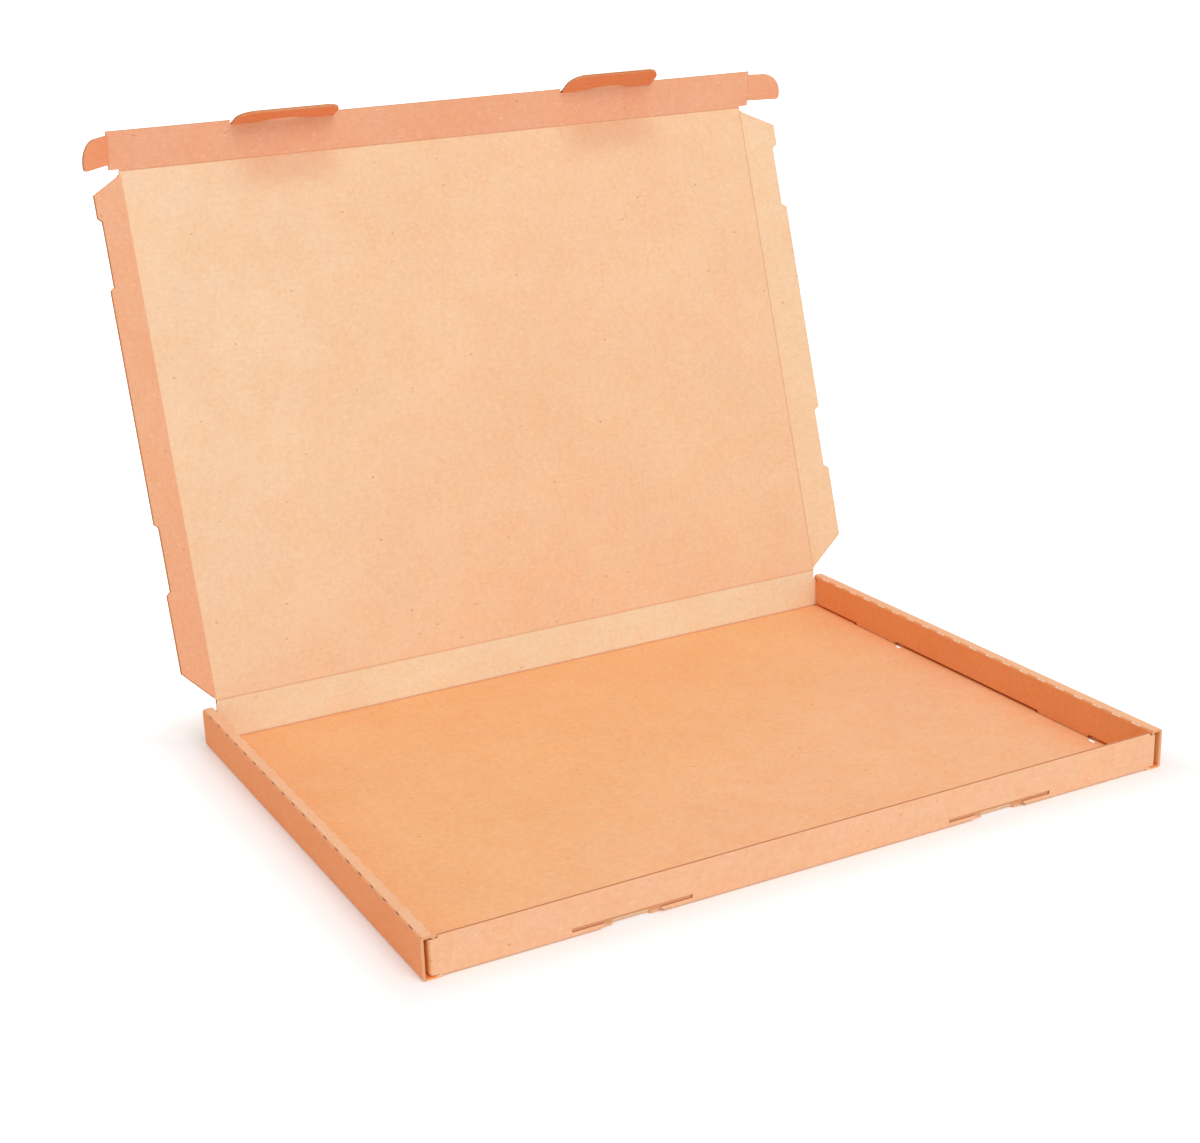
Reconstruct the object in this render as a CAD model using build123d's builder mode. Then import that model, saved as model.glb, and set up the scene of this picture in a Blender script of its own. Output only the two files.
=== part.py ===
from build123d import *
import os
from math import cos, hypot, radians, sin

# A flat mailer box, standing open. The whole box is one die-cut sheet of thin
# corrugated board. The tray is a floor with a front wall, a rear wall and two
# double side walls, which roll over a narrow spine and lock into slots in the
# floor. The lid turns on the rear wall. It carries two side flaps, and a front
# flap with two corner ears and two lock tabs. Each panel that turns on a crease
# is a solid of its own. All the rest of the sheet is the tray.
#
# Millimetres. The origin is the centre of the tray's underside. X runs along the
# box, +Y points to the crease of the lid, and +Z points up.

# The sheet
board = 1.2  # thickness of the board
fold_radius = 0.9  # centre-line radius of a pressed fold
crease_gap = 0.15  # between the rounded edge of a crease and the panel that turns on it
slip = 0.3  # clearance of a panel that slides past another one

# The tray
tray_width = 350.0  # over the outer faces of the side walls
tray_depth = 248.0  # over the outer faces of the front and rear walls
side_height = 18.1  # from the table to the top of a spine
front_height = 17.2  # from the table to the top edge of the front wall
spine_width = 5.6  # over both walls of a double side wall
ear_slot = 1.8  # clear slot inside the double wall, open at its front end
corner_flap_length = 34.0  # of the flap at each end of the front and rear walls
corner_flap_drop = 0.8  # top of a corner flap below the underside of the spine
inner_wall_lift = 1.4  # lower edge of an inner wall above the floor
inner_wall_rear_gap = 3.3  # from the rear wall to the end of an inner wall

# The tabs of the inner walls and their slots in the floor
foot_width = 33.4  # length of a tab along the wall
foot_depth = 2.3  # how far a tab goes down below the edge of its wall
foot_spacing = 139.0  # between the middles of the two tabs of one wall
foot_taper = 1.0  # how much a tab narrows at each end
floor_slot_play = 0.3  # each side of the board, across the slot
floor_slot_rear_play = 1.5  # along the slot, behind the tab
floor_slot_front_play = 5.6  # along the slot, in front of the tab
slot_relief_reach = 1.8  # how far the slot's front end widens towards the box's middle
slot_relief_length = 4.8

# The perforated folds of the spines
perforation_pitch = 12.0
perforation_length = 5.0
perforation_width = 0.7
perforation_end_gap = 1.5
perforation_count = int((tray_depth - 2 * perforation_end_gap) / perforation_pitch)

# The lid
hinge_height = 21.4  # lid crease above the table
front_crease_height = 19.9  # crease of the front flap above the table when the lid is shut
front_flap_play = 0.4  # between the front wall and the hanging front flap
lid_open_angle = 106.4  # of the lid as it stands, counted from level and shut
side_play = 0.6  # between a folded side flap and the inner wall

# The side flaps of the lid
side_flap_width = 18.4
side_flap_fold_angle = 8.0  # how far each side flap stands folded inwards
side_flap_end_gap = 1.5  # flap's end from the crease, at its root
side_flap_front_gap = 2.2
side_flap_rear_slope = 14.7  # length of the slanted rear end, along the lid
side_flap_front_slope = 9.2
notch_depth = 2.5  # of the two long notches in a side flap's edge
notch_length = 33.0
notch_rear_gap = 52.8  # from the lid crease to the first notch
notch_front_gap = 21.9  # from the second notch to the front flap's crease
notch_slope = 1.6  # length of a notch's slanted end

# The front flap
front_flap_height = 18.4
front_flap_fold_angle = 21.9  # how far the front flap stands folded inwards

# The lock tabs, which fold inwards and slide into the front wall
lock_spacing = 175.0  # between the middles of the two lock tabs
lock_height = 3.3  # middle of the lock slot above the table
lock_width = 51.5
lock_length = 15.0
lock_corner = 8.0  # radius of a tab's two free corners
left_lock_fold_angle = 62.0  # how far each lock tab stands folded inwards
right_lock_fold_angle = 51.0
lock_side_cut = 0.5  # cut between a tab's end and the flap beside it
lock_slot_play = 0.5  # at each end of the lock slot
lock_slot_slip = 0.25  # above and below the tab in its slot
tongue_width = 29.0  # half-round tongue that stays in the front flap
tongue_height = 3.0
tongue_cut = 0.6  # width of the cut round the tongue
thumb_notch_width = 33.0  # gap in the front wall's lower edge, under the tongue
thumb_notch_top = 17.0  # level stretch of the notch, between its two curved ends
thumb_notch_depth = 3.2  # how far the notch goes back into the floor

# The ears at the ends of the front flap
ear_length = 18.4
ear_round = 9.6  # radius of the big outer corner
ear_small_round = 1.9
ear_free_edge = 16.6  # from the front crease to the ear's far edge
left_ear_fold_angle = 37.0  # how far the left ear stands folded inwards
right_ear_fold_angle = 10.0

# Worked out from the sizes above
panel_start = board / 2 + crease_gap
floor_mid = board / 2
wall_mid = tray_depth / 2 - board / 2
outer_mid = tray_width / 2 - board / 2
spine_mid = side_height - board / 2
inner_face = tray_width / 2 - spine_width
inner_mid = inner_face + board / 2
corner_mid = outer_mid - board - ear_slot
corner_flap_bottom = board + slip
corner_flap_top = side_height - board - corner_flap_drop
inner_bottom = board + inner_wall_lift
inner_wall_top = corner_flap_top + slip
front_stop = wall_mid - board / 2 - slip
rear_stop = wall_mid - board / 2 - inner_wall_rear_gap
side_crease_x = inner_face - side_play - board / 2
front_crease_y = tray_depth / 2 + front_flap_play + board / 2
lid_length = hypot(wall_mid + front_crease_y, hinge_height - front_crease_height)
ear_crease_x = tray_width / 2 - board - ear_slot / 2
ear_near_edge = front_crease_height - (side_height - board - slip)
lock_crease = front_crease_height - lock_height


def crease_plane(panel_plane, x, y, turn_x=0.0, turn_y=0.0):
    """The plane of a panel that turns on a crease through (x, y) of its parent panel."""
    return Plane(panel_plane.location * Location((x, y, 0), (turn_x, turn_y, 0)))


# Planes of the panels as they stand. Local Z is the inner face of the sheet.
lean = radians(lid_open_angle)
lid_plane = Plane(
    origin=(0, wall_mid, hinge_height),
    x_dir=(1, 0, 0),
    z_dir=(0, -sin(lean), -cos(lean)),
)
front_plane = crease_plane(lid_plane, 0, lid_length, turn_x=front_flap_fold_angle)


def thumb_notch_face():
    """Face of a thumb notch: level along its top, with an S-curve down to each end."""
    top = lock_height + board / 2 + lock_slot_slip
    with BuildSketch() as face:
        with BuildLine():
            for end in (-1, 1):
                foot = (end * thumb_notch_width / 2, 0)
                shoulder = (end * thumb_notch_top / 2, top)
                Spline(foot, shoulder, tangents=((-end, 0), (-end, 0)))
            Line((-thumb_notch_top / 2, top), (thumb_notch_top / 2, top))
            Line((-thumb_notch_width / 2, 0), (thumb_notch_width / 2, 0))
        make_face()
    return face.sketch


# Floor, front wall and rear wall are one strip, bent up at both ends. The corner
# flaps turn back from the two walls into the double side walls.
with BuildPart() as tray:
    with BuildSketch(Plane.YZ):
        with BuildLine():
            FilletPolyline(
                (-wall_mid, front_height),
                (-wall_mid, floor_mid),
                (wall_mid, floor_mid),
                (wall_mid, hinge_height + board / 2),
                radius=fold_radius,
            )
        trace(line_width=board)
    extrude(amount=side_crease_x, both=True)

    # the edge that the lid turns on is rounded about the crease line
    hinge_edges = tray.edges().filter_by(Axis.X).group_by(Axis.Z)[-1]
    fillet(hinge_edges, radius=board / 2 - 0.01)

    with BuildSketch(Plane.XY.offset(corner_flap_bottom)):
        for y_wall in (-wall_mid, wall_mid):
            y_end = y_wall + corner_flap_length if y_wall < 0 else y_wall - corner_flap_length
            with BuildLine():
                FilletPolyline(
                    (-corner_mid, y_end),
                    (-corner_mid, y_wall),
                    (corner_mid, y_wall),
                    (corner_mid, y_end),
                    radius=fold_radius,
                )
            trace(line_width=board)
    extrude(amount=corner_flap_top - corner_flap_bottom)

    # double side walls: outer wall and spine, with the fold into the inner wall
    for side in (-1, 1):
        with BuildSketch(Plane.XZ):
            with BuildLine():
                FilletPolyline(
                    (side * inner_mid, inner_wall_top),
                    (side * inner_mid, spine_mid),
                    (side * outer_mid, spine_mid),
                    (side * outer_mid, floor_mid),
                    (side * (side_crease_x - board), floor_mid),
                    radius=fold_radius,
                )
            trace(line_width=board)
        extrude(amount=tray_depth / 2, both=True)

    # inner walls, each with two feet that stand in the floor's slots
    for side in (-1, 1):
        with BuildSketch(Plane.YZ.offset(side * inner_face)):
            with Locations(((rear_stop - front_stop) / 2, (inner_bottom + inner_wall_top) / 2)):
                Rectangle(front_stop + rear_stop, inner_wall_top - inner_bottom + board / 4)
            with Locations((foot_spacing / 2, inner_bottom), (-foot_spacing / 2, inner_bottom)):
                Polygon(
                    (-foot_width / 2, board / 4),
                    (-foot_width / 2, 0),
                    (foot_taper - foot_width / 2, -foot_depth),
                    (foot_width / 2 - foot_taper, -foot_depth),
                    (foot_width / 2, 0),
                    (foot_width / 2, board / 4),
                    align=None,
                )
        extrude(amount=side * board)

    # slots in the floor for the feet
    slot_length = foot_width + floor_slot_rear_play + floor_slot_front_play
    slot_shift = (floor_slot_rear_play - floor_slot_front_play) / 2
    with BuildSketch():
        for side in (-1, 1):
            with Locations(
                (side * inner_mid, foot_spacing / 2 + slot_shift),
                (side * inner_mid, -foot_spacing / 2 + slot_shift),
            ):
                Rectangle(board + 2 * floor_slot_play, slot_length)
            relief_width = floor_slot_play + slot_relief_reach
            relief_x = side * (inner_face - relief_width / 2)
            relief_y = slot_shift - slot_length / 2 + slot_relief_length / 2
            with Locations(
                (relief_x, foot_spacing / 2 + relief_y),
                (relief_x, -foot_spacing / 2 + relief_y),
            ):
                Rectangle(relief_width, slot_relief_length)
    extrude(amount=board, mode=Mode.SUBTRACT)

    # lock slots of the front wall, with a thumb notch below each
    with BuildSketch(Plane.XZ.offset(tray_depth / 2)):
        with Locations((-lock_spacing / 2, 0), (lock_spacing / 2, 0)):
            add(thumb_notch_face())
        with Locations((-lock_spacing / 2, lock_height), (lock_spacing / 2, lock_height)):
            Rectangle(lock_width + 2 * lock_slot_play, board + 2 * lock_slot_slip)
    extrude(amount=-(board + fold_radius - board / 2), mode=Mode.SUBTRACT)
    with BuildSketch():
        with Locations((-lock_spacing / 2, -tray_depth / 2), (lock_spacing / 2, -tray_depth / 2)):
            Rectangle(thumb_notch_top, 2 * thumb_notch_depth)
        floor_corners = vertices().group_by(Axis.Y)[-1]
        fillet(floor_corners, radius=thumb_notch_depth - board)
    extrude(amount=board, mode=Mode.SUBTRACT)

    # perforations through both folds of each spine
    perforation_drop = fold_radius * (1 - cos(radians(45)))
    for side in (-1, 1):
        for fold_x, lean_out in ((outer_mid, 45), (inner_mid, -45)):
            inward = perforation_drop if fold_x == outer_mid else -perforation_drop
            fold_line = Location(
                (side * (fold_x - inward), 0, spine_mid - perforation_drop),
                (0, side * lean_out, 0),
            )
            with BuildSketch(Plane(fold_line)):
                with GridLocations(0, perforation_pitch, 1, perforation_count):
                    Rectangle(perforation_width, perforation_length)
            extrude(amount=board, both=True, mode=Mode.SUBTRACT)


# The lid panel. Both side edges and the front edge are rounded about the creases
# of the flaps. The rear edge is square and turns on the rounded rear wall.
with BuildPart() as lid_panel:
    section_plane = Plane(lid_plane.location * Location((0, panel_start, 0), (90, 0, 0)))
    with BuildSketch(section_plane):
        SlotOverall(2 * side_crease_x + board, board)
    extrude(amount=-(lid_length - panel_start))
    edge_plane = Plane(lid_plane.location * Location((0, lid_length, 0), (0, 90, 0)))
    with BuildSketch(edge_plane):
        Circle(board / 2)
    extrude(amount=side_crease_x, both=True)


def tongue_face(width, height, root):
    """Face under an arc of the given width and height, with a straight root below it."""
    with BuildSketch() as face:
        with BuildLine():
            ThreePointArc((-width / 2, 0), (0, height), (width / 2, 0))
            Polyline((-width / 2, 0), (-width / 2, -root), (width / 2, -root), (width / 2, 0))
        make_face()
    return face.sketch


# The front flap. Its ends and the middle parts of its far edge are rounded about
# the creases of the ears and the lock tabs. Each lock tab leaves a half-round
# tongue standing in the flap.
with BuildPart() as front_flap:
    section_plane = Plane(front_plane.location * Location((0, panel_start, 0), (90, 0, 0)))
    with BuildSketch(section_plane):
        SlotOverall(2 * ear_crease_x + board, board)
    extrude(amount=-(front_flap_height - panel_start))
    recess = front_flap_height - lock_crease
    with BuildSketch(front_plane):
        with Locations(
            (-lock_spacing / 2, lock_crease + recess / 2),
            (lock_spacing / 2, lock_crease + recess / 2),
        ):
            Rectangle(lock_width + 2 * lock_side_cut, recess)
    extrude(amount=board, both=True, mode=Mode.SUBTRACT)
    for side in (-1, 1):
        crease_line = Location((side * lock_spacing / 2, lock_crease, 0), (0, 90, 0))
        with BuildSketch(Plane(front_plane.location * crease_line)):
            Circle(board / 2)
        extrude(amount=lock_width / 2, both=True)
    with BuildSketch(front_plane):
        with Locations((-lock_spacing / 2, lock_crease), (lock_spacing / 2, lock_crease)):
            add(tongue_face(tongue_width, tongue_height, board))
    extrude(amount=board / 2, both=True)


def side_flap_outline(side):
    """Outline of a side flap, in the plane of its crease, with the flap on the given side."""
    edge = side * side_flap_width
    floor_of_notch = side * (side_flap_width - notch_depth)
    root = side * panel_start
    rear_end = side_flap_end_gap
    front_end = lid_length - side_flap_front_gap
    second_notch = lid_length - notch_front_gap - notch_length
    Polyline(
        (root, rear_end),
        (edge, rear_end + side_flap_rear_slope),
        (edge, notch_rear_gap),
        (floor_of_notch, notch_rear_gap + notch_slope),
        (floor_of_notch, notch_rear_gap + notch_length - notch_slope),
        (edge, notch_rear_gap + notch_length),
        (edge, second_notch),
        (floor_of_notch, second_notch + notch_slope),
        (floor_of_notch, second_notch + notch_length - notch_slope),
        (edge, second_notch + notch_length),
        (edge, front_end - side_flap_front_slope),
        (root, front_end),
        close=True,
    )


# The side flaps of the lid, folded a little inwards. Each has a slanted end and
# two long shallow notches in its free edge.
left_flap_plane = crease_plane(lid_plane, -side_crease_x, 0, turn_y=side_flap_fold_angle)
right_flap_plane = crease_plane(lid_plane, side_crease_x, 0, turn_y=-side_flap_fold_angle)

with BuildPart() as left_side_flap:
    with BuildSketch(left_flap_plane):
        with BuildLine():
            side_flap_outline(-1)
        make_face()
    extrude(amount=board / 2, both=True)

with BuildPart() as right_side_flap:
    with BuildSketch(right_flap_plane):
        with BuildLine():
            side_flap_outline(1)
        make_face()
    extrude(amount=board / 2, both=True)


def ear_face(side):
    """Face of an ear in its own plane, with its crease along the Y axis."""
    width = ear_length - panel_start
    height = ear_free_edge - ear_near_edge
    middle = (side * (panel_start + width / 2), ear_near_edge + height / 2)
    with BuildSketch() as face:
        with Locations(middle):
            Rectangle(width, height)
        far_corners = face.vertices().group_by(Axis.X)[-1 if side > 0 else 0].sort_by(Axis.Y)
        fillet(far_corners[-1], radius=ear_round)
        near_corners = face.vertices().group_by(Axis.Y)[0].sort_by(Axis.X)
        fillet(near_corners[-1 if side > 0 else 0], radius=ear_small_round)
    return face.sketch


# The ears, which slide into the open front ends of the double side walls.
with BuildPart() as left_ear:
    with BuildSketch(crease_plane(front_plane, -ear_crease_x, 0, turn_y=left_ear_fold_angle)):
        add(ear_face(-1))
    extrude(amount=board / 2, both=True)

with BuildPart() as right_ear:
    with BuildSketch(crease_plane(front_plane, ear_crease_x, 0, turn_y=-right_ear_fold_angle)):
        add(ear_face(1))
    extrude(amount=board / 2, both=True)


def lock_tab_face():
    """Face of a lock tab in its own plane, with its crease along the X axis."""
    with BuildSketch() as face:
        with Locations((0, (panel_start + lock_length) / 2)):
            Rectangle(lock_width, lock_length - panel_start)
        fillet(face.vertices().group_by(Axis.Y)[-1], radius=lock_corner)
        cut_width = tongue_width + 2 * tongue_cut
        add(tongue_face(cut_width, tongue_height + tongue_cut, board), mode=Mode.SUBTRACT)
    return face.sketch


# The lock tabs, which slide through the lock slots onto the floor.
left_tab_plane = crease_plane(
    front_plane, -lock_spacing / 2, lock_crease, turn_x=left_lock_fold_angle
)
right_tab_plane = crease_plane(
    front_plane, lock_spacing / 2, lock_crease, turn_x=right_lock_fold_angle
)

with BuildPart() as left_lock_tab:
    with BuildSketch(left_tab_plane):
        add(lock_tab_face())
    extrude(amount=board / 2, both=True)

with BuildPart() as right_lock_tab:
    with BuildSketch(right_tab_plane):
        add(lock_tab_face())
    extrude(amount=board / 2, both=True)


tray.part.label = "tray"
lid_panel.part.label = "lid_panel"
front_flap.part.label = "front_flap"
left_side_flap.part.label = "left_side_flap"
right_side_flap.part.label = "right_side_flap"
left_ear.part.label = "left_ear"
right_ear.part.label = "right_ear"
left_lock_tab.part.label = "left_lock_tab"
right_lock_tab.part.label = "right_lock_tab"

os.makedirs("parts", exist_ok=True)
export_step(tray.part, "parts/tray.step")
export_step(lid_panel.part, "parts/lid_panel.step")
export_step(front_flap.part, "parts/front_flap.step")
export_step(left_side_flap.part, "parts/left_side_flap.step")
export_step(right_side_flap.part, "parts/right_side_flap.step")
export_step(left_ear.part, "parts/left_ear.step")
export_step(right_ear.part, "parts/right_ear.step")
export_step(left_lock_tab.part, "parts/left_lock_tab.step")
export_step(right_lock_tab.part, "parts/right_lock_tab.step")
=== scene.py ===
import math
import bmesh
import bpy
import numpy as np
from mathutils import Matrix, Vector


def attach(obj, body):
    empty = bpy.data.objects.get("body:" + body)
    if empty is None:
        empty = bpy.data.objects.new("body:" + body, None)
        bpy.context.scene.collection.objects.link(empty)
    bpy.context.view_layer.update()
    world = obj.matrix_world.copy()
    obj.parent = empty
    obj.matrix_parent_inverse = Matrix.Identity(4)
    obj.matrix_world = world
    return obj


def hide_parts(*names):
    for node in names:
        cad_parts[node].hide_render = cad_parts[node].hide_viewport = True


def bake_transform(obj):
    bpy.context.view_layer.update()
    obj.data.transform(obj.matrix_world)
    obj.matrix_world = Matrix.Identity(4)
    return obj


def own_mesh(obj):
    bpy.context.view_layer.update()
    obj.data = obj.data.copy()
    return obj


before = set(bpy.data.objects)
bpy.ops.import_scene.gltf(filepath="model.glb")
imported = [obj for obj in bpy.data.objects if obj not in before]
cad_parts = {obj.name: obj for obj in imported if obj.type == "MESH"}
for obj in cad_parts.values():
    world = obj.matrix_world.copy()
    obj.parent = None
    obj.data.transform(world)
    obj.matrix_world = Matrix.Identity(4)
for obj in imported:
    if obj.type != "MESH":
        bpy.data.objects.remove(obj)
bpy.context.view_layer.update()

# The tray: floor, front wall, rear wall and the two double side walls, folded from
# one die-cut sheet. It is brown corrugated board, a smooth paper liner on each side
# of a fluted sheet, with the flutes running along the box. Nothing holds it but folds.
MM = 0.001
BOARD = 1.2 * MM
TRAY_WIDTH = 350.0 * MM
TRAY_DEPTH = 248.0 * MM
SPINE_TOP = 18.1 * MM
SPINE_WIDTH = 5.6 * MM
WALL_GAP = (TRAY_WIDTH / 2 - SPINE_WIDTH + BOARD, TRAY_WIDTH / 2 - BOARD)
FLUTE_PITCH = 2.7 * MM
FLUTE_SWING = 0.3 * MM
# Painted light and shade: one inner liner, painted paler on the upright walls and darker on the
# floor.
LIT_INNER_WALL_LINER = (0.97, 0.83, 0.60)
SHADED_FLOOR_LINER = (0.97, 0.52, 0.25)
SHADED_PINKER_FLOOR_LINER = (0.97, 0.535, 0.292)
OUTER_WALL_LINER = (0.97, 0.545, 0.32)
# Painted shade: the outer liner darker and redder on faces turned sideways, darkest on the rolled
# inner walls.
SHADED_OUTER_SIDE_LINER = (0.98, 0.375, 0.155)
SHADED_ROLLED_LINER = (0.87, 0.345, 0.135)
# Painted shade in the narrow gap under each inner wall, on its walls and on the floor beneath.
GAP_SHADE_WALL = (1.0, 0.50, 0.20)
GAP_SHADE_FLOOR = (1.0, 0.28, 0.06)
CUT_PAPER = (0.86, 0.42, 0.22)
# Painted shade: the open channels between the flutes in a cut edge.
SHADED_FLUTE_GAP = (0.50, 0.16, 0.07)
SPECK = (0.48, 0.20, 0.09)
WARM_PATCH = (1.0, 0.93, 0.86)
PALE_FIBRE = (1.0, 0.78, 0.56)
# The crease colour stands partly for the board's own darkening along a pressed crease and partly
# for painted shade and painted shadow.
CREASE_STAIN_AND_SHADE = (0.72, 0.28, 0.13)


class Reading:
    """A number or vector that varies over a surface. Arithmetic on it adds Math nodes."""

    def __init__(self, paint, socket):
        self.paint = paint
        self.socket = socket

    def maths(self, operation, *others):
        return self.paint.node("ShaderNodeMath", {"operation": operation}, self, *others)

    def __add__(self, other):
        return self.maths("ADD", other)

    def __radd__(self, other):
        return self.maths("ADD", other)

    def __sub__(self, other):
        return self.maths("SUBTRACT", other)

    def __rsub__(self, other):
        return self.paint.node("ShaderNodeMath", {"operation": "SUBTRACT"}, other, self)

    def __mul__(self, other):
        return self.maths("MULTIPLY", other)

    def __rmul__(self, other):
        return self.maths("MULTIPLY", other)

    def __gt__(self, other):
        return self.maths("GREATER_THAN", other)

    def __lt__(self, other):
        return self.maths("LESS_THAN", other)

    def __abs__(self):
        return self.maths("ABSOLUTE")

    def sin(self):
        return self.maths("SINE")

    def at_least(self, other):
        return self.maths("MAXIMUM", other)

    def along(self, direction):
        """The part of a vector that lies along a fixed direction."""
        return self.paint.node("ShaderNodeVectorMath", {"operation": "DOT_PRODUCT"},
                               self, tuple(direction), out="Value")

    def ramp(self, low, high):
        """0 below low, 1 above high, smooth between them."""
        return self.paint.node("ShaderNodeMapRange", {"interpolation_type": "SMOOTHSTEP"},
                               self, low, high, 0.0, 1.0)


class Paint:
    """The node tree of one material. A Mix node's colour sockets go by the numbers here."""

    SHARE, FIRST, SECOND, MIXED = 0, 6, 7, 2

    def __init__(self, name):
        self.material = bpy.data.materials.new(name)
        self.material.use_nodes = True
        self.tree = self.material.node_tree
        self.shader = self.tree.nodes["Principled BSDF"]

    def node(self, kind, settings, *values, out=0, **named):
        """A node of one kind: its settings first, then its sockets by number and by name."""
        made = self.tree.nodes.new(kind)
        for key, value in settings.items():
            setattr(made, key, value)
        for key, value in list(enumerate(values)) + list(named.items()):
            key = key.replace("_", " ") if isinstance(key, str) else key
            if isinstance(value, Reading):
                self.tree.links.new(value.socket, made.inputs[key])
            else:
                made.inputs[key].default_value = value
        return Reading(self, made.outputs[out])

    def blend(self, share, first, second, how="MIX"):
        """Two colours, mixed by a share from 0 to 1."""
        mixed = self.tree.nodes.new("ShaderNodeMix")
        mixed.data_type = "RGBA"
        mixed.blend_type = how
        for place, value in ((self.SHARE, share), (self.FIRST, first), (self.SECOND, second)):
            if isinstance(value, Reading):
                self.tree.links.new(value.socket, mixed.inputs[place])
            elif place == self.SHARE:
                mixed.inputs[place].default_value = value
            else:
                mixed.inputs[place].default_value = (*value, 1.0)
        return Reading(self, mixed.outputs[self.MIXED])

    def feed(self, **sockets):
        """Values or links for the shader's own sockets, by name."""
        for key, value in sockets.items():
            target = self.shader.inputs[key.replace("_", " ")]
            if isinstance(value, Reading):
                self.tree.links.new(value.socket, target)
            else:
                target.default_value = value


NOISE_ROUGHNESS = 0.55


def noise(paint, place, size, detail=3.0, stretch=(1.0, 1.0, 1.0)):
    """Noise from 0 to 1 with marks of about one size, longer where stretch is under 1."""
    spread = paint.node("ShaderNodeVectorMath", {"operation": "MULTIPLY"}, place, stretch)
    return paint.node("ShaderNodeTexNoise", {"noise_dimensions": "3D"}, Vector=spread,
                      Scale=1.0 / size, Detail=detail, Roughness=NOISE_ROUGHNESS)


SPECK_STRETCH = (0.6, 1.0, 1.0)
SPECK_CORE = 0.2
SPECK_RIM = 1.1


def specks(paint, place, spacing, radius, share):
    """Soft specks drawn out along the box, one to a cell, kept in a share of the cells.

    A speck is full inside its core and gone past its rim, both as parts of the radius.
    """
    settings = {"voronoi_dimensions": "3D", "feature": "F1"}
    drawn = paint.node("ShaderNodeVectorMath", {"operation": "MULTIPLY"}, place, SPECK_STRETCH)
    distance = paint.node("ShaderNodeTexVoronoi", settings, Vector=drawn, Scale=1.0 / spacing)
    lottery = Reading(paint, distance.socket.node.outputs["Color"]).along((1.0, 0.0, 0.0))
    core = SPECK_CORE * radius / spacing
    rim = SPECK_RIM * radius / spacing
    return (1.0 - distance.ramp(core, rim)) * (lottery < share)


# The marks in the paper: how large each is, and its share of the tone and of the height.
# A row of specks is their spacing, their radius and the share of the cells that have one.
CLOUD_SIZE = 55 * MM
PATCH_SIZE = 17 * MM
FORMATION_SIZE = 2.2 * MM
GRAIN_SIZE = 0.55 * MM
FIBRE_SIZE = 1.1 * MM
FIBRE_STRETCH = (0.22, 1.0, 1.0)
DARK_SPECKS = (6.5 * MM, 0.60 * MM, 0.45)
FINE_SPECKS = (3.0 * MM, 0.40 * MM, 0.35)
PALE_SPECKS = (4.0 * MM, 0.50 * MM, 0.4)
PLAIN_TONE = 0.68
CLOUD_TONE = 0.16
PATCH_TONE = 0.06
FORMATION_TONE = 0.28
GRAIN_TONE = 0.14
FLUTE_TONE = 0.006
RED_SWING = 0.5
BLUE_SWING = 1.25
WARM_PATCH_EDGES = (0.42, 0.62)
WARM_PATCH_STRENGTH = 0.6
FIBRE_EDGES = (0.60, 0.78)
FIBRE_STRENGTH = 0.35
PALE_SPECK_STRENGTH = 0.5
DARK_SPECK_STRENGTH = 0.55
FINE_SPECK_STRENGTH = 0.3
FLUTED_SHEET = (0.10 * MM, 0.17 * MM)
CUT_LINER = (0.34 * MM, 0.42 * MM)
GRAIN_HEIGHT = 0.25
FORMATION_HEIGHT = 0.35
FLUTE_HEIGHT = 0.06
FIBRE_HEIGHT = 0.2
PAPER_BUMP = 0.35
PAPER_RELIEF = 0.06 * MM
PAPER_ROUGHNESS = 0.80
FORMATION_ROUGHNESS = 0.15
PAPER_SHEEN = 0.25


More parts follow.
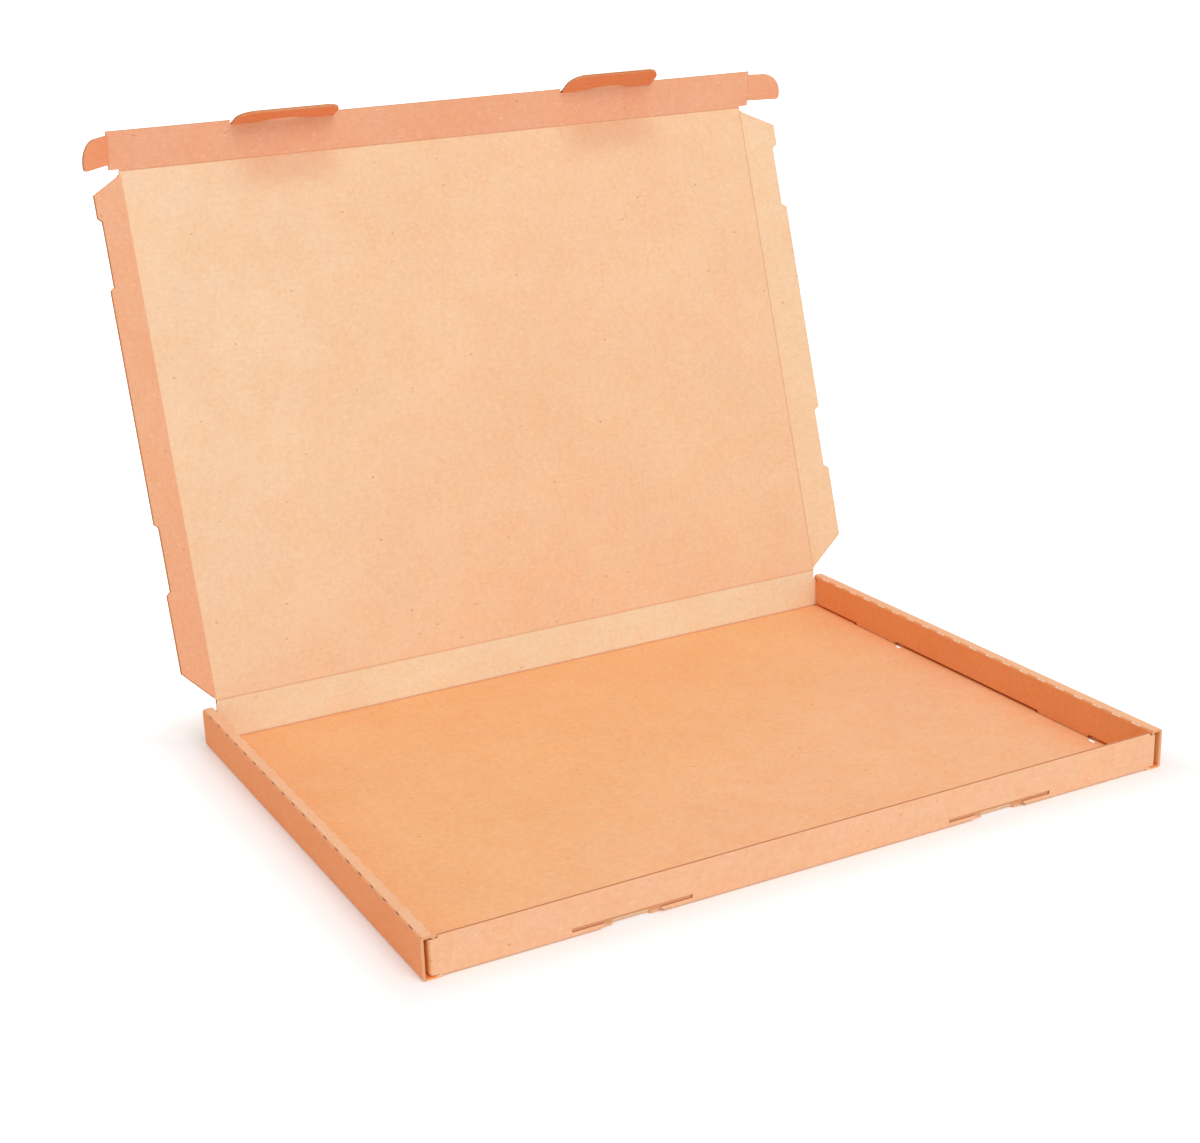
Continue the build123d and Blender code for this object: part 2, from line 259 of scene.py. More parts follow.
def kraft(name, liner, cut, across_flutes, edge_depth, crease_shade=None):
    """Brown board: two liners with fibres and specks, and a cut edge that shows the flutes.

    liner(paint, place, facing) gives the liner's colour, and cut(place, facing) is 1 on a
    cut edge. across_flutes(place, facing) is the distance across the flutes, edge_depth the
    distance from the middle of the board, and crease_shade(place) the share of the crease
    colour, which is painted shade in corners, creases and under the lock tabs, and the
    board's own darker colour where a crease is pressed. The flute is a sine wave in the cut edge.
    """
    paint = Paint(name)
    place = paint.node("ShaderNodeTexCoord", {}, out="Object")
    facing = Reading(paint, place.socket.node.outputs["Normal"])
    flute = (across_flutes(place, facing) * (2 * math.pi / FLUTE_PITCH)).sin()
    cloud = noise(paint, place, CLOUD_SIZE)
    patch = noise(paint, place, PATCH_SIZE, detail=2.0)
    formation = noise(paint, place, FORMATION_SIZE, detail=4.0)
    grain = noise(paint, place, GRAIN_SIZE, detail=2.0)
    fibres = noise(paint, place, FIBRE_SIZE, detail=2.0, stretch=FIBRE_STRETCH)
    dark = specks(paint, place, *DARK_SPECKS)
    fine = specks(paint, place, *FINE_SPECKS)
    pale = specks(paint, place, *PALE_SPECKS)

    tone = (PLAIN_TONE + cloud * CLOUD_TONE + patch * PATCH_TONE + formation * FORMATION_TONE
            + grain * GRAIN_TONE + flute * FLUTE_TONE)
    tint = paint.node("ShaderNodeCombineColor", {}, tone * RED_SWING + (1.0 - RED_SWING), tone,
                      tone * BLUE_SWING - (BLUE_SWING - 1.0))
    colour = paint.blend(1.0, liner(paint, place, facing), tint, "MULTIPLY")
    warm = patch.ramp(*WARM_PATCH_EDGES) * WARM_PATCH_STRENGTH
    colour = paint.blend(warm, colour, WARM_PATCH, "MULTIPLY")
    colour = paint.blend(pale * PALE_SPECK_STRENGTH, colour, PALE_FIBRE)
    colour = paint.blend(fibres.ramp(*FIBRE_EDGES) * FIBRE_STRENGTH, colour, PALE_FIBRE)
    dotted = (dark * DARK_SPECK_STRENGTH).at_least(fine * FINE_SPECK_STRENGTH)
    colour = paint.blend(dotted, colour, SPECK)
    # Painted shade and crease colour: corners, crease lines and the lid under the lock tabs.
    if crease_shade:
        colour = paint.blend(crease_shade(place), colour, CREASE_STAIN_AND_SHADE)

    depth = edge_depth(place, facing)
    fluted = 1.0 - abs(depth - flute * FLUTE_SWING).ramp(*FLUTED_SHEET)
    lined = abs(depth).ramp(*CUT_LINER)
    # Painted shade between the flutes, where the cut edge has open channels.
    section = paint.blend(fluted.at_least(lined), SHADED_FLUTE_GAP, CUT_PAPER)
    colour = paint.blend(cut(place, facing), colour, section)

    height = (grain * GRAIN_HEIGHT + formation * FORMATION_HEIGHT + flute * FLUTE_HEIGHT
              + fibres * FIBRE_HEIGHT)
    bump = paint.node("ShaderNodeBump", {}, Strength=PAPER_BUMP, Distance=PAPER_RELIEF,
                      Height=height)
    paint.feed(Base_Color=colour, Roughness=PAPER_ROUGHNESS + formation * FORMATION_ROUGHNESS,
               Normal=bump)
    paint.shader.inputs["Specular IOR Level"].default_value = PAPER_SHEEN
    return paint.material


FOLD_MARGIN = 0.3 * MM
GAP_MARGIN = 0.2 * MM
FACING_EDGES = (0.5, 0.9)
PINK_SLANT = 0.6
PINK_EDGES = (-40 * MM, 90 * MM)


def tray_liner(paint, place, facing):
    """The outer liner on the outside and on the rolled-over inner walls, the inner one inside,
    each painted lighter or darker by facing as painted light and shade, with painted shade in the
    gap under the inner walls.
    """
    x, y, z = (place.along(axis) for axis in np.eye(3).tolist())
    side = abs(x)
    beyond_fold = side > TRAY_WIDTH / 2 - SPINE_WIDTH - FOLD_MARGIN
    out_ends = (abs(y) > TRAY_DEPTH / 2 - BOARD / 2).at_least(z < BOARD / 2)
    outside = out_ends.at_least(beyond_fold)
    sideways = abs(facing.along((1.0, 0.0, 0.0))).ramp(*FACING_EDGES)
    # Painted light and shade: the inner liner is paler on upright walls, darker on the floor and
    # pinker towards the front right.
    level = facing.along((0.0, 0.0, 1.0)).ramp(*FACING_EDGES)
    to_front_right = (x * PINK_SLANT - y).ramp(*PINK_EDGES)
    shaded_floor_liner = paint.blend(to_front_right, SHADED_FLOOR_LINER, SHADED_PINKER_FLOOR_LINER)
    inner = paint.blend(level, LIT_INNER_WALL_LINER, shaded_floor_liner)
    # Painted shade: faces turned sideways get the darker outer liner, the rolled inner walls the
    # darkest.
    shaded_side_liner = paint.blend(side < TRAY_WIDTH / 2 - BOARD, SHADED_OUTER_SIDE_LINER, SHADED_ROLLED_LINER)
    outer = paint.blend(sideways, OUTER_WALL_LINER, shaded_side_liner)
    visible = paint.blend(outside, inner, outer)
    # Painted shade: the faces between the two walls, and the floor under the inner wall, get the
    # gap's shade colours.
    between = (side > WALL_GAP[0] - GAP_MARGIN) * (side < WALL_GAP[1] + GAP_MARGIN)
    lined = paint.blend(between * sideways, visible, GAP_SHADE_WALL)
    under = (side > WALL_GAP[0] - BOARD) * (z < BOARD + GAP_MARGIN) * (z > BOARD / 2)
    return paint.blend(under, lined, GAP_SHADE_FLOOR)


FACES_ALONG = 0.7
WALL_END_DEPTH = 1.25 * BOARD
SPINE_END_DEPTH = 1.2 * BOARD
LOWEST_CUT = 1.1 * BOARD
TOP_MARGIN = 0.2 * MM
SLOT_MARGIN = 2 * MM


def tray_cut(place, facing):
    """1 on the cut edges: the double walls' ends, the front wall's level edges, slot sides."""
    x, y, z = (place.along(axis) for axis in np.eye(3).tolist())
    to_x, to_y, to_z = (abs(facing.along(axis)) > FACES_ALONG for axis in np.eye(3).tolist())
    side = abs(x)
    double_wall = side > TRAY_WIDTH / 2 - WALL_END_DEPTH
    spine_end = (z > SPINE_TOP - SPINE_END_DEPTH) * (side > TRAY_WIDTH / 2 - SPINE_WIDTH)
    ends = to_y * double_wall.at_least(spine_end)
    tops = to_z * (z > LOWEST_CUT) * (z < SPINE_TOP - TOP_MARGIN)
    slot_ends = to_x * (side < TRAY_WIDTH / 2 - SPINE_WIDTH - SLOT_MARGIN)
    return ends.at_least(tops).at_least(slot_ends)


def tray_across_flutes(place, facing):
    """Height on the front and rear walls, distance along Y elsewhere."""
    upright = abs(facing.along((0.0, 1.0, 0.0))) > FACES_ALONG
    y, z = place.along((0.0, 1.0, 0.0)), place.along((0.0, 0.0, 1.0))
    return y * (1.0 - upright) + z * upright


def tray_edge_depth(place, facing):
    """Distance from the middle of the board, on the front and rear walls' upper edges."""
    y = place.along((0.0, 1.0, 0.0))
    return abs(y) - (TRAY_DEPTH - BOARD) / 2


CORNER_SHADE_LINE = (0.35 * MM, 1.0 * MM)
CORNER_SHADE_STRENGTH = 0.6


def tray_corner_shade(place):
    """A painted shade line in the corner between the floor and the front and rear walls."""
    y, z = place.along((0.0, 1.0, 0.0)), place.along((0.0, 0.0, 1.0))
    corner_y = abs(abs(y) - (TRAY_DEPTH / 2 - BOARD))
    corner_z = abs(z - BOARD)
    return (1.0 - corner_y.at_least(corner_z).ramp(*CORNER_SHADE_LINE)) * CORNER_SHADE_STRENGTH


def put_on(node, material):
    """The one material of a CAD node."""
    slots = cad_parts[node].data.materials
    slots.clear()
    slots.append(material)


tray_board = kraft("tray_board", tray_liner, tray_cut, tray_across_flutes, tray_edge_depth,
                   tray_corner_shade)
put_on("tray", tray_board)


# The perforations that let the narrow spines fold twice. Each is a knife cut 5 mm long
# through the board, and the fold pulls it open, so torn paper shows as a short dash, darker
# at the bottom of its groove as painted shade.
CUT_LENGTH = 5.0 * MM
CUT_PITCH = 12.0 * MM
CUT_COUNT = 20
CUT_HALF_WIDTH = 0.36 * MM
FOLD_MIDDLE = 0.9 * MM
OUTER_MIDDLE = TRAY_WIDTH / 2 - BOARD / 2
INNER_MIDDLE = TRAY_WIDTH / 2 - SPINE_WIDTH + BOARD / 2
SPINE_MIDDLE = SPINE_TOP - BOARD / 2
HALF_ROOT = math.sqrt(0.5)
LIP_STATIONS = 7
LIP_SUNK = 0.02 * MM
LIP_ROOT = FOLD_MIDDLE - 0.4 * BOARD
TORN_FIBRE = 0.4 * MM
TORN_SWING = 0.2 * MM
TORN_DEPTH = 0.55 * MM
TORN_RELIEF = 0.1 * MM
TORN_BUMP = 0.5
TORN_ROUGHNESS = 0.95
OUTER_GROOVE = 0.55 * MM
OUTER_DEEP_SHADE = (0.42, 0.17, 0.08)
OUTER_RIM = (0.85, 0.44, 0.25)
INNER_GROOVE = 0.3 * MM
INNER_DEEP_SHADE = (0.80, 0.42, 0.22)
INNER_RIM = (1.0, 0.84, 0.68)


def outward_mesh(name, points, faces):
    """A closed mesh from arrays of points and faces, with its faces turned outwards."""
    mesh = bpy.data.meshes.new(name)
    mesh.from_pydata(points, [], faces)
    solid = bmesh.new()
    solid.from_mesh(mesh)
    bmesh.ops.recalc_face_normals(solid, faces=solid.faces)
    solid.to_mesh(mesh)
    solid.free()
    return mesh


def new_object(name, data):
    made = bpy.data.objects.new(name, data)
    bpy.context.collection.objects.link(made)
    return made


def torn_lips(name, fold_x, lean, groove, deep_shade, rim):
    """Paper lips in the cuts of one fold of both spines: a groove like a boat's hull.

    Across the cut the top follows the round fold, lowered at the middle in proportion to
    1 - |t|, where t runs from -1 to 1 across. Along the cut that groove fades as 1 - s * s,
    where s runs from -1 to 1 along it.
    """
    across = np.array([-1.0, -0.5, 0.0, 0.5, 1.0])
    along = np.linspace(-1.0, 1.0, LIP_STATIONS)
    outer_radius = FOLD_MIDDLE + BOARD / 2
    round_top = np.sqrt(outer_radius ** 2 - (across * CUT_HALF_WIDTH) ** 2) - LIP_SUNK
    dip = groove * (1 - np.abs(across))[None, :] * (1 - along ** 2)[:, None]
    top = round_top[None, :] - dip
    low = np.full_like(top, LIP_ROOT)
    radial = np.concatenate((top, low[:, ::-1]), axis=1)
    side_way = np.concatenate((across, across[::-1])) * CUT_HALF_WIDTH
    starts = (np.arange(CUT_COUNT) - (CUT_COUNT - 1) / 2) * CUT_PITCH
    y = starts[:, None, None] + along[None, :, None] * CUT_LENGTH / 2 + 0 * side_way
    centre_x = fold_x - lean * FOLD_MIDDLE
    x = centre_x + (lean * radial + side_way)[None] * HALF_ROOT + 0 * y
    z = SPINE_MIDDLE - FOLD_MIDDLE + (radial - lean * side_way)[None] * HALF_ROOT + 0 * y
    right = np.stack((x, y, z), axis=-1).reshape(-1, 3)
    points = np.concatenate((right, right * (-1, 1, 1)))
    ring, stations = radial.shape[1], len(along)
    step = np.arange(ring)
    band = np.stack((step, (step + 1) % ring, (step + 1) % ring + ring, step + ring), axis=1)
    tube = (band[None] + (np.arange(stations - 1) * ring)[:, None, None]).reshape(-1, 4)
    half = ring // 2
    strip = np.arange(half - 1)
    cap = np.stack((strip, ring - 1 - strip, ring - 2 - strip, strip + 1), axis=1)
    quads = np.concatenate((tube, cap, cap + ring * (stations - 1)))
    bases = np.arange(2 * CUT_COUNT) * ring * stations
    faces = (quads[None] + bases[:, None, None]).reshape(-1, 4)
    mesh = outward_mesh(name, points.tolist(), faces.tolist())

    # Painted shade: the torn paper is darker towards the bottom of the groove, paler at its rim.
    paint = Paint(f"{name}_paper")
    place = paint.node("ShaderNodeTexCoord", {}, out="Object")
    to_side, up = abs(place.along((1.0, 0.0, 0.0))), place.along((0.0, 0.0, 1.0))
    radius = ((to_side - centre_x) * lean + (up - (SPINE_MIDDLE - FOLD_MIDDLE))) * HALF_ROOT
    fibre = noise(paint, place, TORN_FIBRE)
    height = (radius + (fibre - 0.5) * TORN_SWING).ramp(outer_radius - TORN_DEPTH, outer_radius)
    bump = paint.node("ShaderNodeBump", {}, Strength=TORN_BUMP, Distance=TORN_RELIEF, Height=fibre)
    paint.feed(Base_Color=paint.blend(height, deep_shade, rim), Roughness=TORN_ROUGHNESS, Normal=bump)
    mesh.materials.append(paint.material)
    lips = new_object(name, mesh)
    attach(lips, "tray")


torn_lips("outer_fold_cuts", OUTER_MIDDLE, 1, OUTER_GROOVE, OUTER_DEEP_SHADE, OUTER_RIM)
torn_lips("inner_fold_cuts", INNER_MIDDLE, -1, INNER_GROOVE, INNER_DEEP_SHADE, INNER_RIM)


# The lid panel and its flaps: flat pieces of the same sheet, each turning on a pressed
# crease. The inner liner faces the viewer. The lid leans back and the flaps stand
# folded in by the angles that their creases keep.
LID_LEAN = math.radians(106.4)
HINGE = Vector((0.0, 123.4 * MM, 21.4 * MM))
LID_LENGTH = 248.4045 * MM
SIDE_CREASE = 168.2 * MM
FRONT_FOLD = math.radians(21.9)
SIDE_FOLD = math.radians(8.0)
EAR_CREASE = 172.9 * MM
LOCK_CREASE = 16.6 * MM
ALONG_X = Vector((1.0, 0.0, 0.0))
lid_along = Vector((0.0, -math.cos(LID_LEAN), math.sin(LID_LEAN)))
lid_inside = Vector((0.0, -math.sin(LID_LEAN), -math.cos(LID_LEAN)))
flap_along = lid_along * math.cos(FRONT_FOLD) + lid_inside * math.sin(FRONT_FOLD)
flap_inside = lid_inside * math.cos(FRONT_FOLD) - lid_along * math.sin(FRONT_FOLD)
flap_root = HINGE + lid_along * LID_LENGTH


def liner_at(liner, paint, place):
    """A liner's colour at a place: the liner is one colour, or a function that gives it."""
    return liner(paint, place) if callable(liner) else liner


def panel_board(name, root, inside, flutes_across, inner, outer, crease_shade=None):
    """Board of a flat panel through root, with its inner side facing the given way."""
    offset = root.dot(inside)

    def depth(place, facing):
        return place.along(inside) - offset

    def liner(paint, place, facing):
        return paint.blend(depth(place, facing) > 0.0, outer, liner_at(inner, paint, place))

    def cut(place, facing):
        return abs(facing.along(inside)) < FACES_ALONG

    def across(place, facing):
        return place.along(flutes_across)

    return kraft(name, liner, cut, across, depth, crease_shade)


OUTER_PANEL = (0.95, 0.49, 0.27)
LID_LINER = (0.95, 0.61, 0.375)
# Painted light: the lid's liner turns paler towards its left end.
LIT_LID_LINER = (0.95, 0.662, 0.435)
# Painted shade: the front flap's copy of the inner liner is darker, as it faces down.
SHADED_FLAP_LINER = (0.90, 0.45, 0.27)
LIT_LID_SPAN = (-SIDE_CREASE, 20 * MM)
# Painted shadow of the lock tabs on the lid, in the crease colour.
TAB_SHADOW_AT = 87.5 * MM
TAB_SHADOW_STRENGTH = 0.32
TAB_SHADOW_FADE = (12 * MM, 36 * MM)
TAB_SHADOW_BELOW_FOLD = 4 * MM
TAB_SHADOW_REACH = (2 * MM, 17 * MM)


def lid_liner(paint, place):
    """The lid's inner liner, painted paler towards the left end as painted light."""
    from_left = place.along(ALONG_X).ramp(*LIT_LID_SPAN)
    return paint.blend(from_left, LIT_LID_LINER, LID_LINER)


def tab_shadow_span(place):
    """How strong the painted shadow of a lock tab is along the box: full under a tab, fading
    beside it.
    """
    beside = abs(abs(place.along(ALONG_X)) - TAB_SHADOW_AT)
    return (1.0 - beside.ramp(*TAB_SHADOW_FADE)) * TAB_SHADOW_STRENGTH


def painted_tab_shadow(place):
    """A soft painted shadow on the lid under each lock tab, on its inner face only."""
    below = abs(place.along(lid_along) - (HINGE.dot(lid_along) + LID_LENGTH - TAB_SHADOW_BELOW_FOLD))
    inner_face = place.along(lid_inside) > HINGE.dot(lid_inside)
    return tab_shadow_span(place) * (1.0 - below.ramp(*TAB_SHADOW_REACH)) * inner_face


lid_board = panel_board("lid_board", HINGE, lid_inside, lid_along, lid_liner, OUTER_PANEL,
                        painted_tab_shadow)
put_on("lid_panel", lid_board)
flap_board = panel_board("front_flap_board", flap_root, flap_inside, flap_along, SHADED_FLAP_LINER,
                         OUTER_PANEL)
put_on("front_flap", flap_board)


# The two side flaps, slanted at both ends, with two long shallow notches in the free
# edge. The left one stands further folded in, as its crease has kept it.
SIDE_REST = {-1: math.radians(29.0), 1: SIDE_FOLD}
SIDE_NAME = {-1: "left", 1: "right"}
# Painted light and shade: the left flap's liner is darker and the right one's paler than the
# lid's.
SIDE_LIGHT_AND_SHADE_LINER = {-1: (0.90, 0.48, 0.285), 1: (0.95, 0.65, 0.41)}
ROOM_TO_FOLD = 0.25 * MM
WELD_DISTANCE = 0.001 * MM


def turned(vector, axis, angle):
    return Matrix.Rotation(angle, 3, axis) @ vector


side_root, side_way, side_inside = {}, {}, {}
for side in (-1, 1):
    side_root[side] = HINGE + ALONG_X * side * SIDE_CREASE
    side_inside[side] = turned(lid_inside, lid_along, -side * SIDE_REST[side])
    side_way[side] = turned(ALONG_X * side, lid_along, -side * SIDE_REST[side])
    board = panel_board(f"{SIDE_NAME[side]}_flap_board", side_root[side], side_inside[side],
                        lid_along, SIDE_LIGHT_AND_SHADE_LINER[side], OUTER_PANEL)
    put_on(f"{SIDE_NAME[side]}_side_flap", board)


def turned_copy(name, node, centre, axis, angle, shift):
    """The node's own mesh, its corners turned about an axis through centre, then shifted."""
    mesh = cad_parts[node].data.copy()
    mesh.name = name
    welded = bmesh.new()
    welded.from_mesh(mesh)
    bmesh.ops.remove_doubles(welded, verts=welded.verts, dist=WELD_DISTANCE)
    welded.to_mesh(mesh)
    welded.free()
    points = np.zeros(len(mesh.vertices) * 3)
    mesh.vertices.foreach_get("co", points)
    turn = np.array(Matrix.Rotation(angle, 3, axis))
    points = (points.reshape(-1, 3) - np.array(centre)) @ turn.T + np.array(centre + shift)
    mesh.vertices.foreach_set("co", points.ravel())
    mesh.update()
    return new_object(name, mesh)


left_flap = turned_copy("left_flap_bent_in", "left_side_flap", side_root[-1], lid_along,
                        SIDE_REST[-1] - SIDE_FOLD, side_way[-1] * ROOM_TO_FOLD)
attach(left_flap, "left_side_flap")
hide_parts("left_side_flap")
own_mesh(left_flap)

# The two ears at the ends of the front flap, cut with a large round corner.
# They turn on short creases and slide into the open ends of the double walls.
EAR_REST = {-1: math.radians(37.0), 1: math.radians(10.0)}
# Painted shade: the ears' liners are darker than the flap's, the left one most.
SHADED_EAR_LINER = {-1: (0.90, 0.37, 0.19), 1: (0.91, 0.43, 0.245)}
EAR_SPAN = (3.3 * MM, 16.6 * MM)
ear_root, ear_way, ear_inside = {}, {}, {}
for side in (-1, 1):
    ear_root[side] = flap_root + ALONG_X * side * EAR_CREASE
    ear_inside[side] = turned(flap_inside, flap_along, -side * EAR_REST[side])
    ear_way[side] = turned(ALONG_X * side, flap_along, -side * EAR_REST[side])
    board = panel_board(f"{SIDE_NAME[side]}_ear_board", ear_root[side], ear_inside[side],
                        flap_along, SHADED_EAR_LINER[side], OUTER_PANEL)
    put_on(f"{SIDE_NAME[side]}_ear", board)

# The two lock tabs, cut out of the front flap's free edge round a half-round tongue.
# They turn on a crease on each side of the tongue and go through the front wall's slots.
LOCK_REST = {-1: math.radians(62.0), 1: math.radians(51.0)}
# Painted shade: the lock tabs' liner is the darkest copy of the inner liner.
SHADED_LOCK_LINER = (0.86, 0.295, 0.125)
LOCK_SPACING = 175.0 * MM
LOCK_WIDTH = 51.5 * MM
TONGUE_OPENING = 30.2 * MM
lock_root, lock_way, lock_inside = {}, {}, {}
for side in (-1, 1):
    lock_root[side] = flap_root + flap_along * LOCK_CREASE + ALONG_X * side * LOCK_SPACING / 2
    lock_inside[side] = turned(flap_inside, ALONG_X, LOCK_REST[side])
    lock_way[side] = turned(flap_along, ALONG_X, LOCK_REST[side])
    board = panel_board(f"{SIDE_NAME[side]}_tab_board", lock_root[side], lock_inside[side],
                        lock_way[side], SHADED_LOCK_LINER, OUTER_PANEL)
    put_on(f"{SIDE_NAME[side]}_lock_tab", board)


# The creases. Each is a line pressed into the board, on which the liners bend, so a
# narrow strip of board crosses each joint, bent to the joint's rest angle. It is the sheet
# itself, with a darker line along the crease, partly the board's own colour where the press
# has flattened it and partly painted shade in the pressed groove; nothing else holds the panels.
STRIP_REACH = 1.6 * MM
STRIP_PROUD = 0.012 * MM
STRIP_STRAIGHT = 0.75
BEND_SPAN = 0.56
BEND_STATIONS = 21
TURN_SPAN = 0.45
LINER_CHANGE = 0.1 * MM
# The crease lines below are partly the pressed board's own colour and partly painted shade in the
# groove.
CRUSHED_AND_SHADED_LINE = (0.1 * MM, 0.6 * MM)
LID_CRUSH_AND_SHADE = 0.4
FRONT_CRUSH_AND_SHADE = 0.7
SIDE_CRUSH_AND_SHADE = {-1: 0.1, 1: 0.5}
SMALL_CRUSH_AND_SHADE = 0.3
SHORT_OF_CORNER = 1.9 * MM


def crease_strip(name, ends, ways, insides, liners, crush_and_shade, mark=None):
    """Board bent over a crease: a mid line along both panels, thickened by a turning normal.

    The mid line runs from one panel's way to the other's, and its normal turns from the first
    panel's inner side to the second's, smoothly. Each station is offset by half the board on
    both sides, and the section is carried from one end of the crease to the other. Steps
    run from -1 to 1 over the strip's reach, close together where it bends.
    """
    bend = np.linspace(-BEND_SPAN, BEND_SPAN, BEND_STATIONS)
    steps = np.concatenate(([-1.0, -STRIP_STRAIGHT], bend, [STRIP_STRAIGHT, 1.0]))
    first, second = (np.array(way) for way in ways)
    middle = np.abs(steps)[:, None] * STRIP_REACH * np.where(steps[:, None] < 0, first, second)
    share = np.clip((steps / TURN_SPAN + 1) / 2, 0, 1)
    share = (share * share * (3 - 2 * share))[:, None]
    normal = (1 - share) * np.array(insides[0]) + share * np.array(insides[1])
    normal /= np.linalg.norm(normal, axis=1)[:, None]
    half = BOARD / 2 + STRIP_PROUD
    section = np.vstack((middle + normal * half, (middle - normal * half)[::-1]))
    rings = np.array([section + np.array(end) for end in ends])
    count = len(section)
    lower = np.arange(count)
    upper = np.roll(lower, -1)
    sides = np.stack((lower, upper, upper + count, lower + count), axis=1).tolist()
    caps = [list(range(count))[::-1], list(range(count, 2 * count))]
    mesh = outward_mesh(name, rings.reshape(-1, 3).tolist(), sides + caps)
    strip = new_object(name, mesh)
    past_crease = np.concatenate((steps, steps[::-1])) * STRIP_REACH
    inner_side = np.repeat((1.0, 0.0), len(steps))
    for quantity, values in (("past_crease", past_crease), ("inner_side", inner_side)):
        stored = mesh.attributes.new(quantity, "FLOAT", "POINT")
        stored.data.foreach_set("value", np.tile(values, 2))

    def kept(place, quantity):
        """A value stored on the strip's points, which stays with each point."""
        return place.paint.node("ShaderNodeAttribute", {"attribute_name": quantity}, out="Fac")

    def liner_side(paint, place, facing):
        sides = (liner_at(liner, paint, place) for liner in liners)
        past = kept(place, "past_crease").ramp(-LINER_CHANGE, LINER_CHANGE)
        inner = paint.blend(past, *sides)
        return paint.blend(kept(place, "inner_side"), OUTER_PANEL, inner)

    def no_cut(place, facing):
        return 0.0

    def across_flutes(place, facing):
        return kept(place, "past_crease")

    # The crease line: partly pressed board, partly painted shade; the mark adds the lock tabs'
    # painted shadow.
    def crushed_and_shaded(place):
        past = kept(place, "past_crease")
        line = (1.0 - abs(past).ramp(*CRUSHED_AND_SHADED_LINE)) * crush_and_shade
        if mark:
            line = line.at_least(mark(place) * (past < 0.0) * kept(place, "inner_side"))
        return line

    board = kraft(f"{name}_board", liner_side, no_cut, across_flutes, across_flutes, crushed_and_shaded)
    mesh.materials.append(board)
    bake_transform(strip)


def crease_ends(centre, along, half):
    return (centre - along * half, centre + along * half)


down = Vector((0.0, 0.0, -1.0))
wall_inside = Vector((0.0, -1.0, 0.0))
crease_strip("lid_crease", crease_ends(HINGE, ALONG_X, SIDE_CREASE),
             (down, lid_along), (wall_inside, lid_inside), (LIT_INNER_WALL_LINER, lid_liner),
             LID_CRUSH_AND_SHADE)
# The front crease also carries the lock tabs' painted shadow on its lid side.
crease_strip("front_flap_crease",
             crease_ends(flap_root, ALONG_X, SIDE_CREASE),
             (-lid_along, flap_along), (lid_inside, flap_inside), (lid_liner, SHADED_FLAP_LINER),
             FRONT_CRUSH_AND_SHADE, tab_shadow_span)
for side in (-1, 1):
    middle = side_root[side] + lid_along * LID_LENGTH / 2
    crease_strip(f"{SIDE_NAME[side]}_flap_crease",
                 crease_ends(middle, lid_along, LID_LENGTH / 2 - SHORT_OF_CORNER),
                 (ALONG_X * -side, side_way[side]), (lid_inside, side_inside[side]),
                 (lid_liner, SIDE_LIGHT_AND_SHADE_LINER[side]), SIDE_CRUSH_AND_SHADE[side])
    middle = ear_root[side] + flap_along * sum(EAR_SPAN) / 2
    crease_strip(f"{SIDE_NAME[side]}_ear_crease",
                 crease_ends(middle, flap_along, (EAR_SPAN[1] - EAR_SPAN[0]) / 2),
                 (ALONG_X * -side, ear_way[side]), (flap_inside, ear_inside[side]),
                 (SHADED_FLAP_LINER, SHADED_EAR_LINER[side]), SMALL_CRUSH_AND_SHADE)
    for part, half in (("left", -1), ("right", 1)):
        root_width = (LOCK_WIDTH - TONGUE_OPENING) / 2
        middle = lock_root[side] + ALONG_X * half * (TONGUE_OPENING + root_width) / 2
        crease_strip(f"{SIDE_NAME[side]}_tab_crease_{part}",
                     crease_ends(middle, ALONG_X, root_width / 2),
                     (-flap_along, lock_way[side]), (flap_inside, lock_inside[side]),
                     (SHADED_FLAP_LINER, SHADED_LOCK_LINER), SMALL_CRUSH_AND_SHADE)


# The floor under the box: a wide white sheet of backdrop paper. It lies level and runs out of
# view. For the camera it also glows, a painted light that is full away from the box and under
# its middle, so the box's shadow shows only in a band along its outline.
FLOOR_SIZE = 24.0
SHADOW_REACH = 0.09
NEAR_GLOW = 0.12
UNDER_BOX = (-6 * MM, -4 * MM)
FLOOR_PAPER = (0.93, 0.93, 0.93, 1.0)
FLOOR_ROUGHNESS = 0.9
corners = np.array([(-1, -1, 0), (1, -1, 0), (1, 1, 0), (-1, 1, 0)]) * FLOOR_SIZE / 2
floor_mesh = bpy.data.meshes.new("floor")
floor_mesh.from_pydata(corners.tolist(), [], [(0, 1, 2, 3)])
floor = new_object("floor", floor_mesh)
backdrop = Paint("backdrop_paper")
seen = backdrop.node("ShaderNodeLightPath", {}, out="Is Camera Ray")
where = backdrop.node("ShaderNodeTexCoord", {}, out="Object")
past_side = abs(where.along((1.0, 0.0, 0.0))) - TRAY_WIDTH / 2
past_end = abs(where.along((0.0, 1.0, 0.0))) - TRAY_DEPTH / 2
outside = past_side.at_least(past_end)
# Painted light: the glow fills in the floor's shade under the box's middle and far from it.
away = outside.ramp(0.0, SHADOW_REACH).at_least(1.0 - outside.ramp(*UNDER_BOX))
glow = seen * (NEAR_GLOW + away * (1.0 - NEAR_GLOW))
shine = backdrop.node("ShaderNodeCombineColor", {}, glow, glow, glow)
backdrop.feed(Base_Color=FLOOR_PAPER, Roughness=FLOOR_ROUGHNESS, Emission_Color=shine)
backdrop.shader.inputs["Emission Strength"].default_value = 1.0
backdrop.shader.inputs["Specular IOR Level"].default_value = 0.0
floor_mesh.materials.append(backdrop.material)


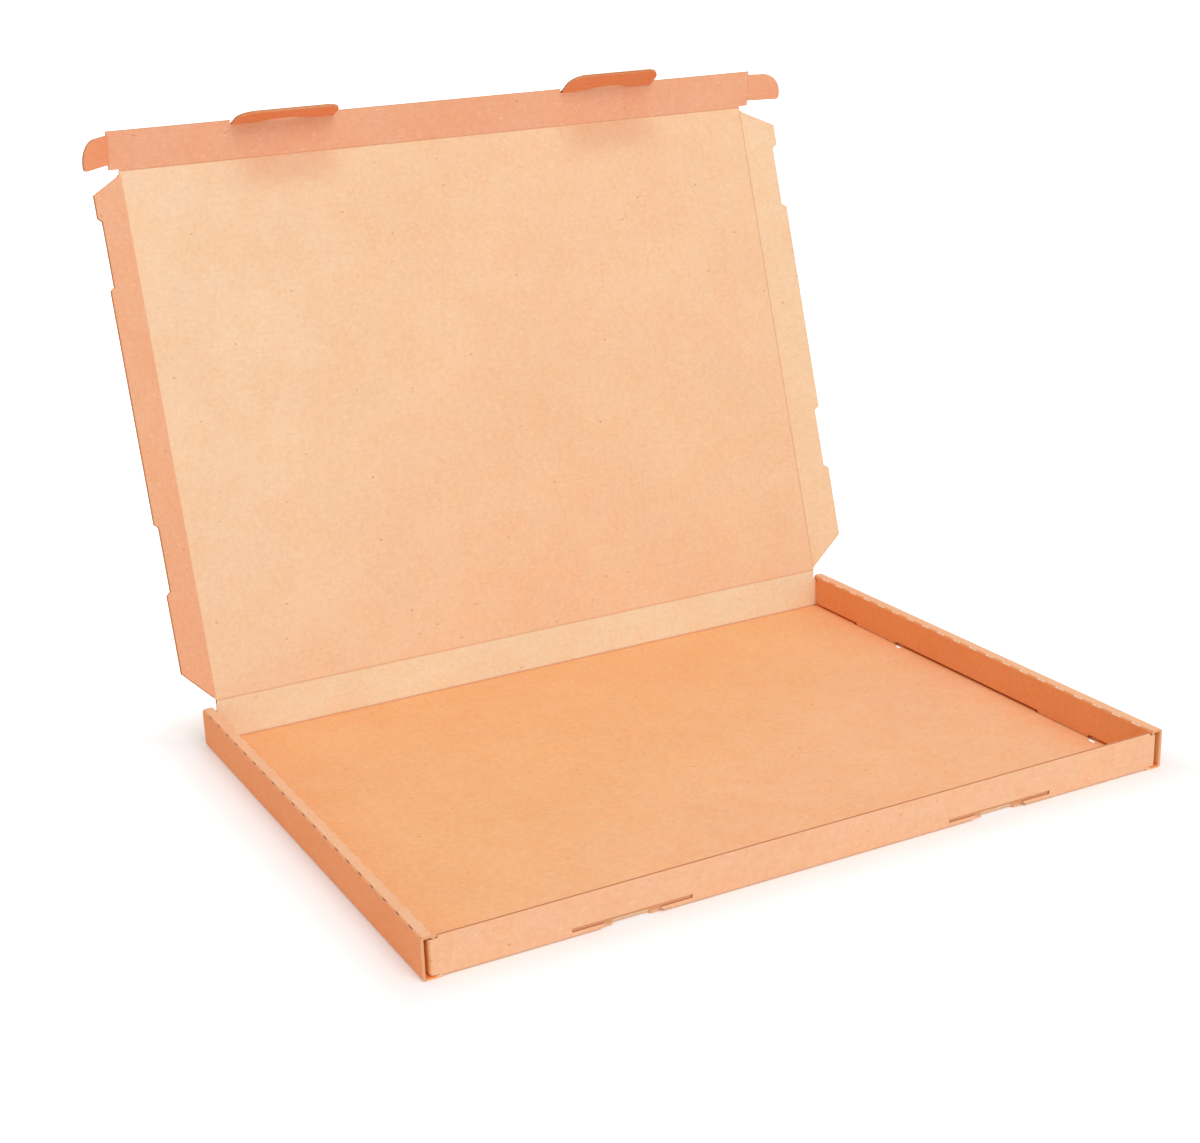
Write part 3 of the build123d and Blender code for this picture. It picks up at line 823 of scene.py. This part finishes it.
# The light: a white room with one large soft lamp high in front, as for a product
# picture on white paper. The room lights the box less than it shows behind it.
WHITE = (1.0, 1.0, 1.0, 1.0)
ROOM_LIGHT = 0.70
LAMP_PLACE = Vector((0.1, -1.4, 1.7))
LAMP_AIM = Vector((0.0, 0.0, 0.08))
LAMP_SIZE = 1.1
LAMP_POWER = 13.5
world = bpy.data.worlds.new("white_room")
bpy.context.scene.world = world
world.use_nodes = True
sky = world.node_tree
rays = sky.nodes.new("ShaderNodeLightPath")
lit = sky.nodes["Background"]
lit.inputs["Color"].default_value = WHITE
lit.inputs["Strength"].default_value = ROOM_LIGHT
shown = sky.nodes.new("ShaderNodeBackground")
shown.inputs["Color"].default_value = WHITE
shown.inputs["Strength"].default_value = 1.0
either = sky.nodes.new("ShaderNodeMixShader")
sky.links.new(rays.outputs["Is Camera Ray"], either.inputs[0])
sky.links.new(lit.outputs[0], either.inputs[1])
sky.links.new(shown.outputs[0], either.inputs[2])
sky.links.new(either.outputs[0], sky.nodes["World Output"].inputs["Surface"])
light = bpy.data.lights.new("key", "AREA")
light.shape = "DISK"
light.size = LAMP_SIZE
light.energy = LAMP_POWER
lamp = new_object("key", light)
lamp.location = LAMP_PLACE
lamp.rotation_euler = (LAMP_AIM - LAMP_PLACE).to_track_quat("-Z", "Y").to_euler()


# The camera, at the photograph's angle: in front of the box, to its left and above it.
# Its values come from a fit to corners of the box, and the lens is shifted sideways.
PHOTO_WIDTH = 1200
AZIMUTH = math.radians(-24.953)
ELEVATION = math.radians(18.695)
ROLL = math.radians(-2.964)
FOCAL_PIXELS = 1941.0
DISTANCE = 1133.47 * MM
AIM = Vector((43.81 * MM, 279.56 * MM, 0.0))
PRINCIPAL_X = 479.9
SENSOR_WIDTH = 36.0
NEAREST = 0.05
back = Vector((math.sin(AZIMUTH) * math.cos(ELEVATION), -math.cos(AZIMUTH) * math.cos(ELEVATION),
               math.sin(ELEVATION)))
level = Vector((math.cos(AZIMUTH), math.sin(AZIMUTH), 0.0))
upward = back.cross(level)
camera_right = level * math.cos(ROLL) + upward * math.sin(ROLL)
camera_up = upward * math.cos(ROLL) - level * math.sin(ROLL)
camera_data = bpy.data.cameras.new("camera")
camera_data.sensor_width = SENSOR_WIDTH
camera_data.lens = FOCAL_PIXELS / PHOTO_WIDTH * SENSOR_WIDTH
camera_data.shift_x = 0.5 - PRINCIPAL_X / PHOTO_WIDTH
camera_data.clip_start = NEAREST
camera = new_object("camera", camera_data)
turn = Matrix((camera_right, camera_up, back)).transposed().to_4x4()
camera.matrix_world = Matrix.Translation(AIM + back * DISTANCE) @ turn
bpy.context.scene.camera = camera
bpy.context.scene.view_settings.view_transform = "Standard"
